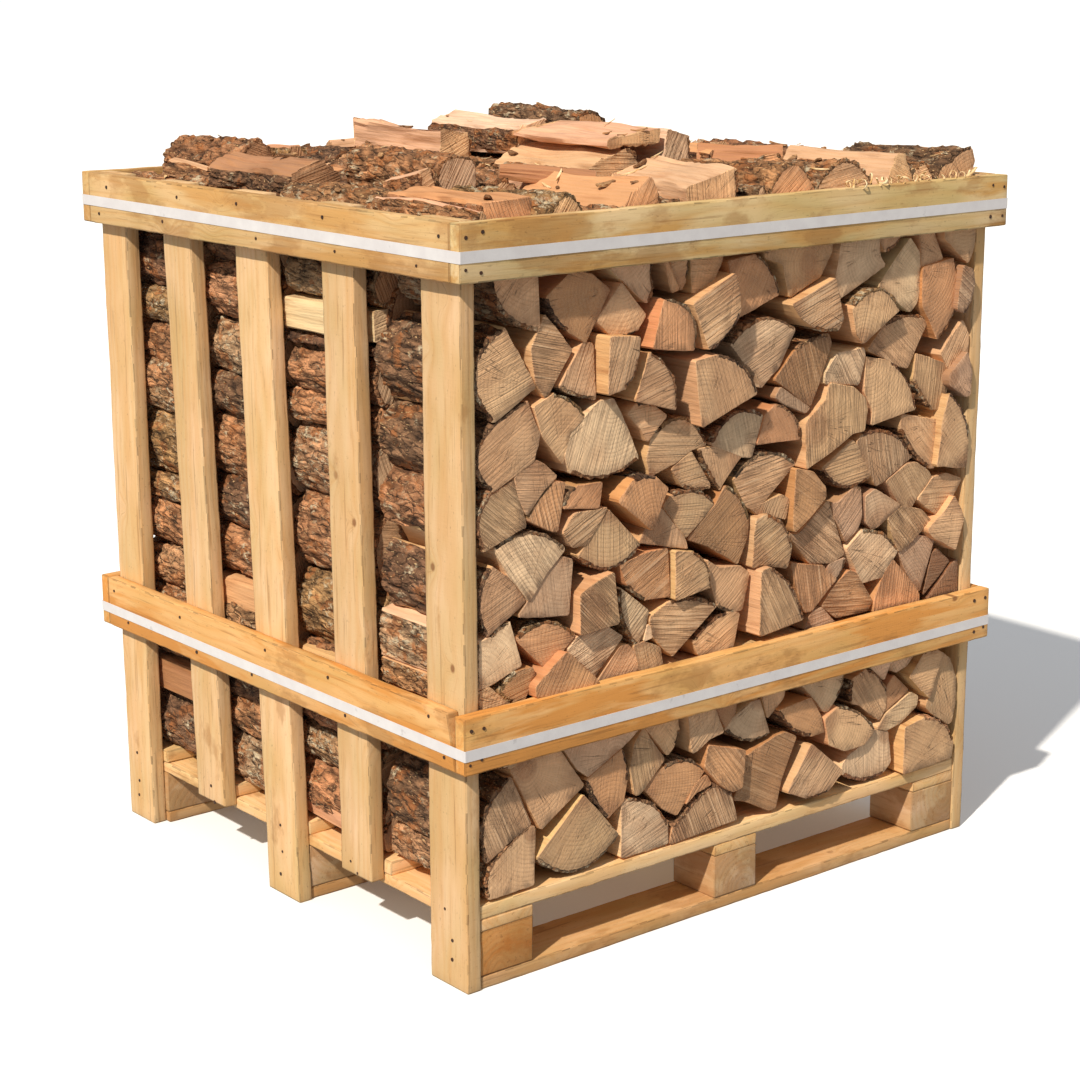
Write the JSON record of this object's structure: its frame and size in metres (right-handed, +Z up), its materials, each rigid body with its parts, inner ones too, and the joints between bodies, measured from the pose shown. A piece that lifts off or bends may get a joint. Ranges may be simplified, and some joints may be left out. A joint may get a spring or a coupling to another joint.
{
  "type": "slatted timber crate of split firewood",
  "caption": "Slatted timber crate on a wooden pallet, packed with ranks of short split firewood logs and held by two strapped board bands, heaped above its rim.",
  "frame": {"origin": "bottom centre of the object's box, on the ground under the middle of the pallet", "axes": "+Z up; the log ends and the open faces look along -Y (front) and +Y (back); the slatted walls look along -X and +X"},
  "size_m": [1.152, 1.0747, 1.2593],
  "materials": {
    "pallet_wood": "rough-sawn softwood, matte",
    "plank_wood": "pale rough-sawn softwood, matte",
    "board_wood": "sawn softwood with orange heartwood streaks, matte",
    "log_wood": "split and sawn hardwood with rough bark, matte",
    "strap": "smooth pale grey plastic strapping"
  },
  "bodies": {
    "root": {"log_rank_1": "log_wood", "log_rank_2": "log_wood", "log_rank_3": "log_wood", "log_rank_4": "log_wood", "middle_board_back": "board_wood", "middle_board_front": "board_wood", "middle_board_left": "board_wood", "middle_board_right": "board_wood", "middle_strap": "strap", "pallet_block_back_left": "pallet_wood", "pallet_block_back_middle": "pallet_wood", "pallet_block_back_right": "pallet_wood", "pallet_block_front_left": "pallet_wood", "pallet_block_front_middle": "pallet_wood", "pallet_block_front_right": "pallet_wood", "pallet_block_middle_left": "pallet_wood", "pallet_block_middle_middle": "pallet_wood", "pallet_block_middle_right": "pallet_wood", "pallet_deck_board_1": "pallet_wood", "pallet_deck_board_2": "pallet_wood", "pallet_deck_board_3": "pallet_wood", "pallet_deck_board_4": "pallet_wood", "pallet_deck_board_5": "pallet_wood", "pallet_runner_back": "pallet_wood", "pallet_runner_front": "pallet_wood", "pallet_runner_middle": "pallet_wood", "pallet_stringer_left": "pallet_wood", "pallet_stringer_middle": "pallet_wood", "pallet_stringer_right": "pallet_wood", "top_board_back": "board_wood", "top_board_front": "board_wood", "top_board_left": "board_wood", "top_board_right": "board_wood", "top_log_01": "log_wood", "top_log_02": "log_wood", "top_log_03": "log_wood", "top_log_04": "log_wood", "top_log_05": "log_wood", "top_log_06": "log_wood", "top_log_07": "log_wood", "top_log_08": "log_wood", "top_log_09": "log_wood", "top_log_10": "log_wood", "top_log_11": "log_wood", "top_log_12": "log_wood", "top_log_13": "log_wood", "top_log_14": "log_wood", "top_log_15": "log_wood", "top_log_16": "log_wood", "top_strap": "strap", "wall_plank_left_back": "plank_wood", "wall_plank_left_fourth": "plank_wood", "wall_plank_left_front": "plank_wood", "wall_plank_left_middle": "plank_wood", "wall_plank_left_second": "plank_wood", "wall_plank_right_back": "plank_wood", "wall_plank_right_fourth": "plank_wood", "wall_plank_right_front": "plank_wood", "wall_plank_right_middle": "plank_wood", "wall_plank_right_second": "plank_wood"}
  },
  "joints": []
}
